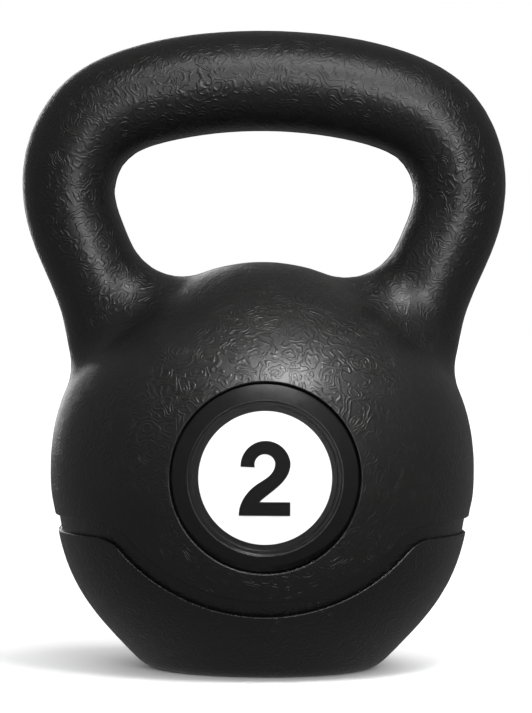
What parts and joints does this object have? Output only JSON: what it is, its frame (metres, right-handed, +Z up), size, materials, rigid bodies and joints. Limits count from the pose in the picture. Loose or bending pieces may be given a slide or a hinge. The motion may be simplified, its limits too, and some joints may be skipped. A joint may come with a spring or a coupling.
{
  "type": "kettlebell",
  "caption": "Small filled kettlebell: round ball with a wide looped handle, a wavy channel round the lower body and a round numbered badge.",
  "frame": {"origin": "centre of the flat base, on the surface it stands on", "axes": "+Z up, the front badge faces -Y, the handle bar runs along X"},
  "size_m": [0.1368, 0.111, 0.1801],
  "materials": {
    "moulded_skin": "satin",
    "cement_mix": "matte",
    "plug_plastic": "satin",
    "badge_ring": "gloss",
    "badge_white": "satin",
    "badge_print": "satin"
  },
  "bodies": {
    "root": {"shell": "moulded_skin", "core_fill": "cement_mix", "base_plug": "plug_plastic", "front_bezel": "badge_ring", "front_label": "badge_white", "front_numeral": "badge_print", "back_bezel": "badge_ring", "back_label": "badge_white", "back_numeral": "badge_print"}
  },
  "joints": []
}
